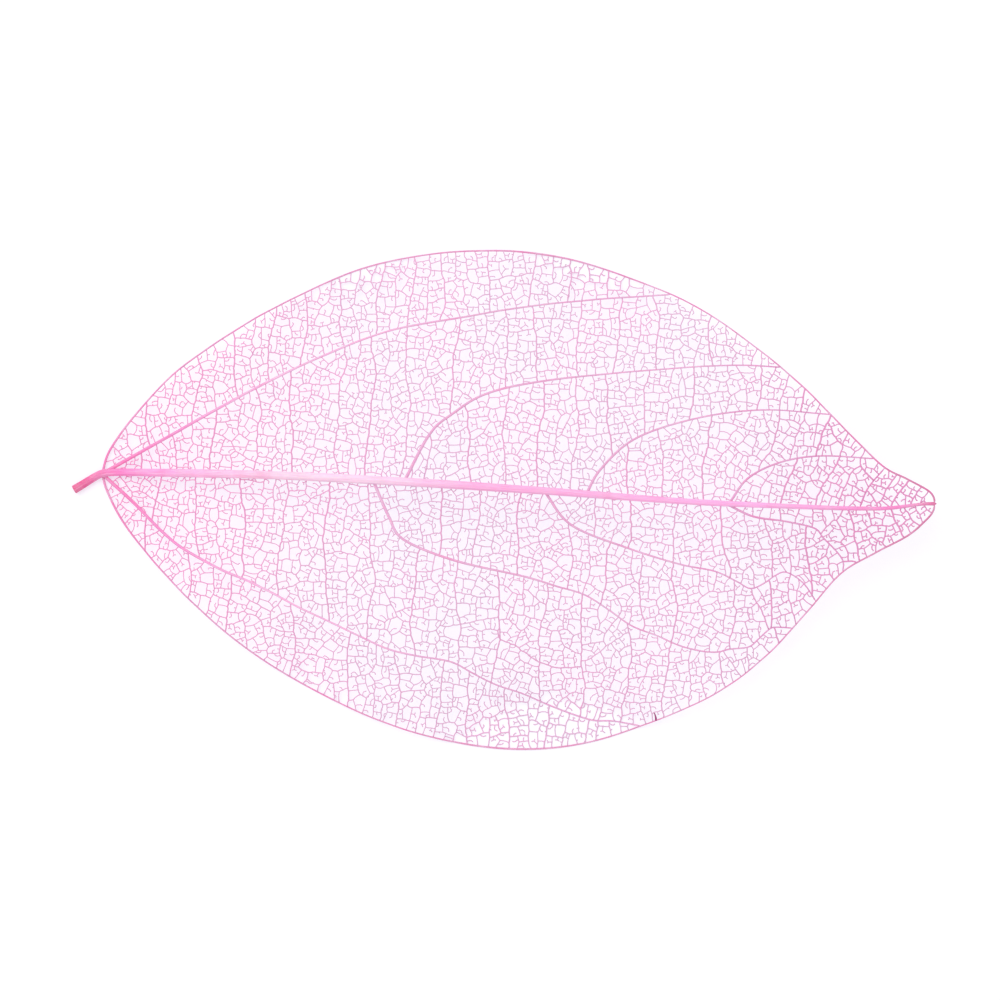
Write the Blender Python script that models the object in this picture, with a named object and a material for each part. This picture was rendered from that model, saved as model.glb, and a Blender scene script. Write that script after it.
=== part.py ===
"""Skeleton leaf: a leaf retted until only its veins are left, then dyed, and dried lying on a table.

The leaf grew as one piece, so it is one solid. A cut stalk runs on as the midrib, side veins arch away from
it, one vein binds the edge, and a net of finer veins fills the gaps between them. The net is open, and here
it is coarser and stouter than in life. Every vein is a ridge with a flat underside.

The net is worked out in plan, in millimetres. x runs from the foot of the blade to its tip, and y across.
"""

import math
import random

import bmesh
import bpy
import numpy as np
from mathutils import Vector
from mathutils.geometry import delaunay_2d_cdt, interpolate_bezier

MM = 0.001

# Overall size
BLADE_LENGTH = 88.0
STALK_LENGTH = 3.4
STALK_TURN = math.radians(-32)
FOOT = (0.0, 0.0)
TIP = (BLADE_LENGTH, 0.0)

# The blade's two edges and the midrib, each as places on a smooth curve from the foot to the tip
UPPER_EDGE = (
    FOOT, (0.8, 2.6), (3.4, 6.4), (7.5, 11.0), (13.6, 15.6), (19.4, 19.2), (26.2, 22.6), (33.0, 24.4),
    (41.0, 25.2), (48.0, 24.8), (55.0, 23.0), (62.0, 20.2), (68.0, 16.4), (73.7, 12.0), (78.7, 7.2),
    (82.4, 3.8), (85.0, 2.5), (87.2, 1.4), TIP,
)
LOWER_EDGE = (
    FOOT, (0.7, -2.0), (2.6, -5.2), (6.4, -9.6), (11.0, -14.0), (16.4, -18.2), (22.6, -21.8),
    (30.0, -25.0), (38.0, -27.1), (45.6, -27.7), (52.8, -26.7), (60.0, -24.0), (66.4, -20.6), (71.4, -16.4),
    (75.4, -11.6), (78.6, -7.6), (82.0, -5.4), (85.4, -3.4), (87.4, -1.5), TIP,
)
MIDRIB = (
    FOOT, (10.0, 0.4), (20.0, 0.5), (32.0, 0.3), (46.0, -0.1), (62.0, -0.7), (76.0, -0.7), TIP,
)

# Side veins, each from the midrib out to the edge. The first on each side leaves at the foot.
UPPER_SIDE_VEINS = (
    (FOOT, (7.2, 4.3), (19.2, 11.3), (28.9, 15.8), (37.4, 17.8), (47.6, 19.8), (59.8, 21.2)),
    ((32.3, 0.3), (34.8, 5.4), (40.7, 9.9), (47.0, 11.5), (57.0, 12.9), (66.0, 13.8), (71.6, 13.8)),
    ((51.4, -0.4), (52.9, 2.4), (56.4, 5.7), (62.5, 8.0), (69.5, 9.2), (77.0, 9.0)),
    ((66.5, -0.7), (68.4, 2.0), (71.8, 3.8), (76.0, 4.6), (81.6, 4.5)),
)
LOWER_SIDE_VEINS = (
    (FOOT, (8.9, -7.6), (20.7, -13.3), (31.3, -17.4), (38.4, -19.2), (46.0, -22.0), (57.8, -25.0)),
    ((29.0, 0.4), (32.5, -5.8), (38.0, -7.8), (45.3, -9.2), (51.2, -10.9), (60.0, -14.6), (73.6, -14.0)),
    ((47.0, -0.1), (50.0, -3.6), (56.0, -5.8), (63.0, -8.0), (69.0, -10.0), (76.8, -9.8)),
    ((66.0, -0.7), (69.0, -3.4), (73.5, -4.6), (78.6, -7.6)),
)

# Widths are from a vein's middle to its side, and heights are from its flat underside to its ridge.
MIDRIB_HALF_WIDTHS = (0.78, 0.34)
MIDRIB_HEIGHTS = (1.45, 0.75)
SIDE_VEIN_HALF_WIDTHS = (0.44, 0.28)
SIDE_VEIN_HEIGHTS = (0.95, 0.66)
EDGE_HALF_WIDTH = 0.29
EDGE_HEIGHT = 0.66
CROSS_VEIN_HALF_WIDTH = 0.27
CROSS_VEIN_HEIGHT = 0.66
FINE_VEIN_HALF_WIDTH = 0.22
FINE_VEIN_HEIGHT = 0.6

# The net. Each mesh grows round a seed. Neighbouring meshes make up patches, which the cross veins part.
MESH_SIZE = 2.3
PATCH_SPACING = 4.5
SHORTEST_VEIN = 0.36 * MESH_SIZE
TIGHTENING_ROUNDS = 8
RANDOM_SEED = 11

# Spacing of the seeds in the rows beside a curve and between the rows
ROW_OFFSET = 0.5 * MESH_SIZE
ROW_PACE = (0.82 * MESH_SIZE, 1.18 * MESH_SIZE)
ROW_GAP = 0.62 * MESH_SIZE
ROW_CLEARANCE = 0.33 * MESH_SIZE
FILL_GAP = 0.84 * MESH_SIZE
FILL_CLEARANCE = 0.42 * MESH_SIZE
FILL_TRIES = 9000

# Corners between veins: how far one may reach along a vein, the sine below which two veins count as in
# line, the least lean of a corner, and the least part of a vein's length that its sides keep
CORNER_REACH = 0.46
IN_LINE_SINE = 0.35
LEAST_LEAN = 0.3
LEAST_SIDE = 0.12

# How the dried leaf lies: arched along and across, with waved edges and a lifted tip. The table flattens
# the lowest places, which are the stalk's end and a stretch of each edge.
ARCH_HEIGHT = 4.9
ARCH_START = -1.2
ARCH_SWEEP = math.radians(148)
DROOP_HALF_WIDTH = 25.0
TIP_LIFT = 2.2
TIP_LIFT_START = 64.0
WAVE_HEIGHT = 1.0
WAVE_LENGTH = 30.0
UPPER_WAVE_LOW = 54.0
LOWER_WAVE_LOW = 50.0
FLATTENED = 0.06

# How finely the smooth curves are followed
CURVE_STEPS = 12
CURVE_SPACING = 0.5

# Dye
PINK = (0.90, 0.36, 0.60, 1.0)

# Ranks of vein, stoutest first
STALK, MIDRIB_RANK, SIDE, EDGE, CROSS, FINE = range(6)
PULL = {STALK: 12.0, MIDRIB_RANK: 12.0, SIDE: 6.0, EDGE: 6.0, CROSS: 2.2, FINE: 1.0}


def clear_scene():
    for thing in list(bpy.data.objects):
        bpy.data.objects.remove(thing, do_unlink=True)


def smooth_curve(places):
    """Evenly spaced points along the smooth curve through the places."""
    places = [Vector(place) for place in places]
    ends = [2 * places[0] - places[1], *places, 2 * places[-1] - places[-2]]
    walk = [places[0]]
    for before, start, stop, after in zip(ends, ends[1:], ends[2:], ends[3:]):
        leave = start + (stop - before) / 6
        arrive = stop - (after - start) / 6
        walk += interpolate_bezier(start, leave, arrive, stop, CURVE_STEPS)[1:]
    walk = np.array(walk)
    gone = np.concatenate(([0], np.cumsum(np.hypot(*np.diff(walk, axis=0).T))))
    even = np.linspace(0, gone[-1], round(gone[-1] / CURVE_SPACING))
    return np.column_stack([np.interp(even, gone, walk[:, axis]) for axis in (0, 1)])


def nearest_on(curve, place):
    """The nearest point of a curve to a place, the side of the place (left is above 0), and the gap."""
    start = curve[:-1]
    run = np.diff(curve, axis=0)
    off = np.asarray(place) - start
    along = np.clip((off * run).sum(axis=1) / (run * run).sum(axis=1), 0, 1)
    foot = start + run * along[:, None]
    gap = np.hypot(*(place - foot).T)
    best = int(np.argmin(gap))
    side = run[best, 0] * off[best, 1] - run[best, 1] * off[best, 0]
    return foot[best], side, gap[best]


class Blade:
    """The curves of the blade, and the sector between them that a place is in."""

    def __init__(self):
        self.edges = [smooth_curve(UPPER_EDGE), smooth_curve(LOWER_EDGE)]
        self.midrib = smooth_curve(MIDRIB)
        halves = (UPPER_SIDE_VEINS, LOWER_SIDE_VEINS)
        self.side_veins = [[smooth_curve(vein) for vein in half] for half in halves]
        self.ring = np.vstack([self.edges[0], self.edges[1][::-1]])

    def curves(self):
        return [*self.edges, self.midrib, *self.side_veins[0], *self.side_veins[1]]

    def inside(self, place):
        """Whether a place is on the blade, by counting the edges that a ray from it crosses."""
        x, y = place
        ends = np.roll(self.ring, -1, axis=0)
        rising = (self.ring[:, 1] > y) != (ends[:, 1] > y)
        with np.errstate(divide="ignore", invalid="ignore"):
            meet = self.ring[:, 0] + (y - self.ring[:, 1]) * (ends[:, 0] - self.ring[:, 0]) / (
                ends[:, 1] - self.ring[:, 1])
        return bool(np.count_nonzero(rising & (meet > x)) % 2)

    def sector(self, place):
        """None off the blade, or else the half and, for each of its side veins, the side of it."""
        if not self.inside(place):
            return None
        half = 0 if nearest_on(self.midrib, place)[1] > 0 else 1
        sides = tuple(nearest_on(vein, place)[1] > 0 for vein in self.side_veins[half])
        return half, sides


def scatter_seeds(blade, rng):
    """One seed for each mesh: rows along both sides of every curve, and the rest spread between them."""
    seeds = []

    def room_for(place, gap):
        return all((place[0] - x) ** 2 + (place[1] - y) ** 2 > gap ** 2 for x, y in seeds)

    curves = blade.curves()
    for index, curve in enumerate(curves):
        others = [other for number, other in enumerate(curves) if number != index]
        run = np.gradient(curve, axis=0)
        run /= np.hypot(*run.T)[:, None]
        pace = np.hypot(*np.diff(curve, axis=0).T).mean()
        for hand in (1, -1):
            gone = rng.uniform(0, MESH_SIZE)
            while gone < pace * (len(curve) - 1):
                at = min(int(gone / pace), len(curve) - 1)
                place = curve[at] + hand * ROW_OFFSET * np.array((-run[at, 1], run[at, 0]))
                crowded = any(nearest_on(other, place)[2] < ROW_CLEARANCE for other in others)
                if not crowded and room_for(place, ROW_GAP):
                    seeds.append(tuple(place))
                gone += rng.uniform(*ROW_PACE)
    lowest, highest = blade.ring[:, 1].min(), blade.ring[:, 1].max()
    for _ in range(FILL_TRIES):
        place = (rng.uniform(0, BLADE_LENGTH), rng.uniform(lowest, highest))
        if blade.inside(place) and room_for(place, FILL_GAP):
            if min(nearest_on(curve, place)[2] for curve in curves) > FILL_CLEARANCE:
                seeds.append(place)
    return seeds


def patch_numbers(seeds, sectors, rng):
    """Groups neighbouring seeds of one sector into patches, whose borders are the cross veins."""
    centres = []
    for number in rng.sample(range(len(seeds)), len(seeds)):
        x, y = seeds[number]
        if sectors[number] and all(math.hypot(x - a, y - b) > PATCH_SPACING for a, b, _ in centres):
            centres.append((x, y, sectors[number]))
    numbers = []
    for (x, y), sector in zip(seeds, sectors):
        reach = {k: math.hypot(x - a, y - b) for k, (a, b, own) in enumerate(centres) if own == sector}
        numbers.append(min(reach, key=reach.get, default=-1))
    return numbers


def circumcentre(a, b, c):
    a, b, c = (np.array(point) for point in (a, b, c))
    area = 2 * ((b - a)[0] * (c - a)[1] - (b - a)[1] * (c - a)[0])
    ab = (b - a) @ (b - a)
    ac = (c - a) @ (c - a)
    turn = np.array((ab * (c - a)[1] - ac * (b - a)[1], ac * (b - a)[0] - ab * (c - a)[0]))
    return a + turn / area


def grow_net(blade):
    """The places where veins meet, and the veins between them, each with its rank and its curve."""
    rng = random.Random(RANDOM_SEED)
    seeds = scatter_seeds(blade, rng)
    sectors = [blade.sector(seed) for seed in seeds]
    patches = patch_numbers(seeds, sectors, rng)
    triangles = delaunay_2d_cdt([Vector(seed) for seed in seeds], [], [], 0, 1e-6)[2]
    places = [circumcentre(*(seeds[k] for k in triangle)) for triangle in triangles]
    sharing = {}
    for number, triangle in enumerate(triangles):
        for k in range(3):
            pair = frozenset((triangle[k], triangle[k - 1]))
            sharing.setdefault(pair, []).append(number)
    veins = {}
    for pair, ends in sharing.items():
        a, b = pair
        if len(ends) < 2 or (sectors[a] is None and sectors[b] is None):
            continue
        veins[frozenset(ends)] = rank_between(blade, seeds, sectors, patches, a, b)
    return places, veins


def rank_between(blade, seeds, sectors, patches, a, b):
    """The rank of the vein between two meshes, and the curve that it follows."""
    if sectors[a] is None or sectors[b] is None:
        inner = seeds[a] if sectors[b] is None else seeds[b]
        return EDGE, min(blade.edges, key=lambda curve: nearest_on(curve, inner)[2])
    if sectors[a][0] != sectors[b][0]:
        return MIDRIB_RANK, blade.midrib
    if sectors[a] != sectors[b]:
        half, sides = sectors[a]
        differing = [k for k in range(len(sides)) if sides[k] != sectors[b][1][k]]
        return SIDE, blade.side_veins[half][differing[0]]
    return (CROSS if patches[a] != patches[b] else FINE), None


def neighbours_of(veins):
    around = {}
    for a, b in (tuple(vein) for vein in veins):
        around.setdefault(a, []).append(b)
        around.setdefault(b, []).append(a)
    return around


def rest_on_curves(places, veins):
    """Puts each place on the stoutest curve that meets there, and the midrib's ends at the foot and tip."""
    meeting = {}
    for vein, (rank, curve) in veins.items():
        for end in vein:
            meeting.setdefault(end, {})[rank] = curve
    for end, curves in meeting.items():
        if EDGE in curves and MIDRIB_RANK in curves:
            places[end] = np.array(FOOT if places[end][0] < BLADE_LENGTH / 2 else TIP)
            continue
        for rank in (EDGE, MIDRIB_RANK, SIDE):
            if rank in curves:
                places[end] = nearest_on(curves[rank], places[end])[0]
                break


def draw_tight(places, veins):
    """Lets the veins pull on the places where they meet, the stout ones harder, so that they run true."""
    around = neighbours_of(veins)
    for _ in range(TIGHTENING_ROUNDS):
        moved = {}
        for end, others in around.items():
            pulls = [PULL[veins[frozenset((end, other))][0]] for other in others]
            middle = sum(pull * places[other] for pull, other in zip(pulls, others)) / sum(pulls)
            moved[end] = (places[end] + middle) / 2
        for end, place in moved.items():
            places[end] = place
        rest_on_curves(places, veins)


def merge_ends(places, veins, gone, kept):
    """Closes up one vein, so that what met at its two ends meets at one place."""
    for vein in [vein for vein in veins if gone in vein]:
        rank_and_curve = veins.pop(vein)
        (other,) = vein - {gone}
        if other != kept:
            twin = frozenset((kept, other))
            if twin not in veins or veins[twin][0] > rank_and_curve[0]:
                veins[twin] = rank_and_curve


def close_short_veins(places, veins, too_short):
    """Closes up the veins that a test finds too short, the shortest first, until it finds none."""
    while True:
        around = neighbours_of(veins)
        best_rank = {}
        for end, others in around.items():
            best_rank[end] = min(veins[frozenset((end, other))][0] for other in others)
        short = [(math.dist(places[a], places[b]), a, b) for a, b in map(sorted, too_short(places, veins))]
        if not short:
            return
        touched = set()
        for _, a, b in sorted(short):
            if a in touched or b in touched or frozenset((a, b)) not in veins:
                continue
            kept, gone = sorted((a, b), key=lambda end: (best_rank[end], end))
            if best_rank[kept] == best_rank[gone]:
                places[kept] = (places[kept] + places[gone]) / 2
            touched |= {a, b, *around[a], *around[b]}
            merge_ends(places, veins, gone, kept)
        rest_on_curves(places, veins)


def shorter_than_limit(places, veins):
    return [tuple(vein) for vein in veins if math.dist(*(places[end] for end in vein)) < SHORTEST_VEIN]


def taper(values, along):
    return values[0] + (values[1] - values[0]) * min(max(along, 0), 1)


def vein_size(rank, place):
    """Half width and height of a vein at a place."""
    if rank in (STALK, MIDRIB_RANK):
        along = place[0] / BLADE_LENGTH
        return taper(MIDRIB_HALF_WIDTHS, along), taper(MIDRIB_HEIGHTS, along)
    if rank == SIDE:
        along = abs(place[1]) / DROOP_HALF_WIDTH
        return taper(SIDE_VEIN_HALF_WIDTHS, along), taper(SIDE_VEIN_HEIGHTS, along)
    if rank == EDGE:
        return EDGE_HALF_WIDTH, EDGE_HEIGHT
    if rank == CROSS:
        return CROSS_VEIN_HALF_WIDTH, CROSS_VEIN_HEIGHT
    return FINE_VEIN_HALF_WIDTH, FINE_VEIN_HEIGHT


def sorted_round(places, end, others):
    """The far ends of the veins that meet at a place, in turn round it, anticlockwise."""
    return sorted(others, key=lambda other: math.atan2(*(places[other] - places[end])[::-1]))


def corners_of(places, veins):
    """The corner between each vein and the next one round the place where they meet."""
    corners = {}
    before = {}
    for end, others in neighbours_of(veins).items():
        here = places[end]
        others = sorted_round(places, end, others)
        for first, second in zip(others, others[1:] + others[:1]):
            before[end, second] = first
            runs = [places[other] - here for other in (first, second)]
            longest = CORNER_REACH * min(math.hypot(*run) for run in runs)
            runs = [run / math.hypot(*run) for run in runs]
            ranks = [veins[frozenset((end, other))][0] for other in (first, second)]
            widths = [vein_size(rank, here)[0] for rank in ranks]
            left = np.array((-runs[0][1], runs[0][0]))
            if first == second:
                before[end, second] = end
                corners[end, first] = here + left * widths[0]
                corners[end, end] = here - left * widths[0]
                continue
            right = np.array((runs[1][1], -runs[1][0]))
            sine = runs[0][0] * runs[1][1] - runs[0][1] * runs[1][0]
            if abs(sine) < IN_LINE_SINE:
                middle = (left + right) / math.hypot(*(left + right))
                offset = middle * (widths[0] + widths[1]) / 2 / max(middle @ left, LEAST_LEAN)
            else:
                offset = (widths[1] * runs[0] + widths[0] * runs[1]) / sine
            corners[end, first] = here + offset * min(1, longest / math.hypot(*offset))
    return corners, before


def pinched(places, veins):
    """The veins whose sides would turn back on themselves between the corners at their two ends."""
    corners, before = corners_of(places, veins)
    found = []
    for a, b in (tuple(vein) for vein in veins):
        run = places[b] - places[a]
        limit = LEAST_SIDE * (run @ run)
        left = corners[b, before[b, a]] - corners[a, b]
        right = corners[b, a] - corners[a, before[a, b]]
        if left @ run < limit or right @ run < limit:
            found.append((a, b))
    return found


def lie(x, y):
    """Height of the leaf's underside over the table."""
    along = max(0.0, (x - ARCH_START) / (BLADE_LENGTH - ARCH_START))
    crown = ARCH_HEIGHT * math.sin(ARCH_SWEEP * along)
    crown += TIP_LIFT * (max(0.0, x - TIP_LIFT_START) / (BLADE_LENGTH - TIP_LIFT_START)) ** 2
    out = (y / DROOP_HALF_WIDTH) ** 2
    low = UPPER_WAVE_LOW if y > 0 else LOWER_WAVE_LOW
    wave = -WAVE_HEIGHT * math.cos(2 * math.pi * (x - low) / WAVE_LENGTH)
    return max(0.0, crown * (1 - out) + wave * out - FLATTENED)


def raise_ridges(name, places, veins):
    """The solid: each vein a ridge over a flat underside, sharing its corners with the veins it meets."""
    corners, before = corners_of(places, veins)
    around = neighbours_of(veins)
    solid = bmesh.new()

    def vertex(place, height):
        x, y = (float(value) for value in place)
        return solid.verts.new((x * MM, y * MM, (lie(x, y) + height) * MM))

    feet = {key: vertex(place, 0.0) for key, place in corners.items()}
    ridges = {}
    for end, others in around.items():
        heights = [vein_size(veins[frozenset((end, other))][0], places[end])[1] for other in others]
        ridges[end] = vertex(places[end], max(heights))
    for a, b in (tuple(vein) for vein in veins):
        left = (feet[a, b], feet[b, before[b, a]])
        right = (feet[a, before[a, b]], feet[b, a])
        solid.faces.new((ridges[a], ridges[b], left[1], left[0]))
        solid.faces.new((ridges[b], ridges[a], right[0], right[1]))
        solid.faces.new((left[0], left[1], right[1], right[0]))
    for end, others in around.items():
        if len(others) == 1:
            solid.faces.new((ridges[end], feet[end, others[0]], feet[end, end]))
        if len(others) > 2:
            solid.faces.new([feet[end, other] for other in reversed(sorted_round(places, end, others))])
    bmesh.ops.triangulate(solid, faces=solid.faces)
    mesh = bpy.data.meshes.new(name)
    solid.to_mesh(mesh)
    solid.free()
    return mesh


def add_stalk(places, veins):
    """Runs the midrib on past the foot as a short stalk, cut square."""
    foot = min(range(len(places)), key=lambda end: math.dist(places[end], FOOT))
    for part in (0.5, 1.0):
        reach = part * STALK_LENGTH
        turn = part * STALK_TURN
        places.append(np.array((-reach * math.cos(turn), reach * math.sin(turn))))
        veins[frozenset((foot, len(places) - 1))] = (STALK, None)
        foot = len(places) - 1


def dyed_veins():
    material = bpy.data.materials.new("dyed_veins")
    material.use_nodes = True
    shader = material.node_tree.nodes["Principled BSDF"]
    shader.inputs["Base Color"].default_value = PINK
    shader.inputs["Roughness"].default_value = 0.7
    shader.inputs["Metallic"].default_value = 0.0
    return material


def build_leaf():
    blade = Blade()
    places, veins = grow_net(blade)
    rest_on_curves(places, veins)
    close_short_veins(places, veins, shorter_than_limit)
    draw_tight(places, veins)
    close_short_veins(places, veins, shorter_than_limit)
    add_stalk(places, veins)
    close_short_veins(places, veins, pinched)
    mesh = raise_ridges("skeleton_leaf", places, veins)
    mesh.materials.append(dyed_veins())
    leaf = bpy.data.objects.new("skeleton_leaf", mesh)
    lows = [min(corner.co[axis] for corner in mesh.vertices) for axis in range(3)]
    highs = [max(corner.co[axis] for corner in mesh.vertices) for axis in range(3)]
    leaf.location = (-(lows[0] + highs[0]) / 2, -(lows[1] + highs[1]) / 2, -lows[2])
    collection = bpy.data.collections.new("Skeleton leaf")
    bpy.context.scene.collection.children.link(collection)
    collection.objects.link(leaf)


clear_scene()
build_leaf()
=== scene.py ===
"""A dyed skeleton leaf on a pale table: the veins that stay when a leaf's soft tissue has been retted away.

Plan lengths are in millimetres, x from the foot of the blade to its tip and y across it. Meshes are in
metres.
"""

import math

import bpy
import numpy as np
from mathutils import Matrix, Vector
from mathutils.geometry import interpolate_bezier


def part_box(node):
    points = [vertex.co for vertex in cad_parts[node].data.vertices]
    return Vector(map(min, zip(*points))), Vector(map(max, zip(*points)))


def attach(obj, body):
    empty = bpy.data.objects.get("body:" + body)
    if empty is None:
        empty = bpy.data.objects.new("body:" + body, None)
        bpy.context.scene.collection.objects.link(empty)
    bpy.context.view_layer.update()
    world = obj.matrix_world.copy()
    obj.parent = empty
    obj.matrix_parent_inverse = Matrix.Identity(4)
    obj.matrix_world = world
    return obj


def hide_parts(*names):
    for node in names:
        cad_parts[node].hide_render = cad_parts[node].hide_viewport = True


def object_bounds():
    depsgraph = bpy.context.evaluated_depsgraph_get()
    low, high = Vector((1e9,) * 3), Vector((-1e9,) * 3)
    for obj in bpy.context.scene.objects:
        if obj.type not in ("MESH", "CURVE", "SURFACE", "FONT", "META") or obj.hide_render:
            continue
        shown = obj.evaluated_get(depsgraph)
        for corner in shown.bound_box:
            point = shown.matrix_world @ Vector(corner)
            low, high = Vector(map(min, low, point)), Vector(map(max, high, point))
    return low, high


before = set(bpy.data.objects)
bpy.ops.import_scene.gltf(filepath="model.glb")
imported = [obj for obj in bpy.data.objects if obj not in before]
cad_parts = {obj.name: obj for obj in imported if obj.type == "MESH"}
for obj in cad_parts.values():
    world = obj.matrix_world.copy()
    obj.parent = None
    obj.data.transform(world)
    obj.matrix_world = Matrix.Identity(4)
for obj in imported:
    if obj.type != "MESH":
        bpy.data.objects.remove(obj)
solid_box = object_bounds()

# The lie of the leaf. The dried blade is arched along and across like a shallow shell, with waved edges,
# a lifted tip and slight cockles between its veins, which the stiff midrib holds down. Only the stalk's
# cut end and a stretch of each edge touch the table.
MM = 0.001
BLADE_LENGTH = 88.0
BLADE_TOP = 25.21
SOLID_PAST_TIP = 0.34
SOLID_PAST_EDGE = 0.29
ARCH_HEIGHT = 4.9
ARCH_START = -1.2
ARCH_SWEEP = math.radians(148)
DROOP_HALF_WIDTH = 25.0
TIP_LIFT = 2.2
TIP_LIFT_START = 64.0
WAVE_LENGTH = 30.0
# Where the upper and the lower edge come down to the table
WAVE_LOWS = (54.0, 50.0)
FLATTENED = 0.06
# Cockles: their height, their turns in radians a millimetre along and across, and how far their rows weave
COCKLE_HEIGHT = 0.2
COCKLE_TURNS = (0.9, 0.8)
COCKLE_START = 0.6
WEAVE = 1.4
WEAVE_TURN = 0.35
STIFFENED_WIDTH = 5.0
STIFFENED_SHARE = 0.1
CURVE_STEPS = 16
FEWEST_POINTS = 4

_, solid_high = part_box("skeleton_leaf")
FOOT_X = solid_high.x - (BLADE_LENGTH + SOLID_PAST_TIP) * MM
FOOT_Y = solid_high.y - (BLADE_TOP + SOLID_PAST_EDGE) * MM


def lie(places):
    """Height of the leaf's underside over the table at places in plan."""
    x, y = np.asarray(places, dtype=float).T
    along = np.maximum(0, (x - ARCH_START) / (BLADE_LENGTH - ARCH_START))
    crown = ARCH_HEIGHT * np.sin(ARCH_SWEEP * along)
    crown += TIP_LIFT * (np.maximum(0, x - TIP_LIFT_START) / (BLADE_LENGTH - TIP_LIFT_START)) ** 2
    out = (y / DROOP_HALF_WIDTH) ** 2
    wave = -np.cos(2 * math.pi * (x - np.where(y > 0, *WAVE_LOWS)) / WAVE_LENGTH)
    height = crown * (1 - out) + wave * out - FLATTENED
    cockle = COCKLE_HEIGHT * np.sin(COCKLE_TURNS[0] * x + WEAVE * np.sin(WEAVE_TURN * y))
    cockle *= np.sin(COCKLE_TURNS[1] * y + COCKLE_START)
    cockle *= np.clip(abs(y) / STIFFENED_WIDTH, STIFFENED_SHARE, 1)
    return np.maximum(0, height + cockle * np.clip(height, 0, 1))


def standing(places, heights):
    """Points in the room, in metres, for places in plan at heights above the leaf's underside."""
    places = np.asarray(places, dtype=float)
    z = lie(places) + heights
    return np.column_stack((places[:, 0] * MM + FOOT_X, places[:, 1] * MM + FOOT_Y, z * MM))


def smooth_line(places, pace):
    """Points a pace apart along the smooth curve through the places."""
    places = [Vector(place) for place in places]
    ends = [2 * places[0] - places[1], *places, 2 * places[-1] - places[-2]]
    walk = [places[0]]
    for before, start, stop, after in zip(ends, ends[1:], ends[2:], ends[3:]):
        handles = (start + (stop - before) / 6, stop - (after - start) / 6)
        walk += interpolate_bezier(start, *handles, stop, CURVE_STEPS)[1:]
    walk = np.array(walk)
    gone = np.concatenate(([0], np.cumsum(np.hypot(*np.diff(walk, axis=0).T))))
    even = np.linspace(0, gone[-1], max(FEWEST_POINTS, round(gone[-1] / pace) + 1))
    return np.column_stack([np.interp(even, gone, walk[:, axis]) for axis in (0, 1)])


# The stalk stub and midrib. One bundle of tough strands runs from the cut end of the stalk to the tip of
# the blade. It is widest a third of the way up, has long shallow furrows between its strands, and took
# the dye unevenly. The soft pith shrank back into the cut end as it dried.
FOOT = (0.0, 0.0)
TIP = (BLADE_LENGTH, 0.0)
STALK = ((-2.88, -1.80), (-2.2, -1.36), (-1.4, -0.82), (-0.7, -0.36))
MIDRIB = (
    FOOT, (0.9, 0.16), (2.4, 0.24), (5.0, 0.3), (10.0, 0.4), (20.0, 0.5), (32.0, 0.3), (46.0, -0.1),
    (62.0, -0.7), (76.0, -0.82), (81.4, -0.74), (83.4, -0.6), (85.2, -0.32), (86.8, -0.06), (88.16, 0.02),
)
MIDRIB_PACE = 0.25
# Girth along the midrib: x, and the girth there
MIDRIB_GIRTH = (
    (-4, 0.94), (-2, 0.84), (2, 0.78), (12, 0.84), (32, 0.88), (46, 0.78), (62, 0.62), (79, 0.44),
    (86.8, 0.32), (88.2, 0.4),
)
MIDRIB_SIDES = 36
MIDRIB_STRANDS = 9
MIDRIB_FURROW = 0.05
# Depth of the furrows between strands, as a share of the girth, and how flat a vein lies; how its furrows
# turn round it, in radians a millimetre, and how full its ends stay
FURROW = 0.06
FLATNESS = 0.92
FURROW_TWIST = 0.12
SECOND_TWIST = -0.31
ROUND_END = 0.05
# The cut end: its rim, how far that curls out, and the pith inside
RIM_SHARE = 0.94
RIM_CURL = 0.03
PITH_SHARE = 0.62
PITH_DEPTH = 0.16
# Colours mixed into the dye of any vein: faded and deep patches, pale and dark streaks
FADED_PATCH = (226, 196, 218)
DEEP_PATCH = (236, 118, 180)
PALE_STREAK = (255, 232, 245)
DARK_STREAK = (222, 110, 172)
STREAK_SHARE = 0.35
VEIN_ROUGHNESS = 0.48
ROUGHNESS_SWING = 0.25
# Dye along the midrib, from the cut end of the stalk to the tip: x, and the red, green and blue there
MIDRIB_DYE = (
    (-3, 220, 70, 125), (1, 245, 120, 190), (5, 255, 165, 220), (20, 255, 215, 235), (30, 250, 210, 235),
    (40, 250, 175, 220), (70, 255, 180, 230), (85, 240, 140, 200), (88, 220, 100, 155),
)


def fill(tree, node, sockets):
    """Sets sockets of a node, each to a number or colour, or to a link from a Dye."""
    for key, value in sockets.items():
        if isinstance(value, Dye):
            tree.links.new(value.socket, node.inputs[key])
        else:
            node.inputs[key].default_value = value


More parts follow.
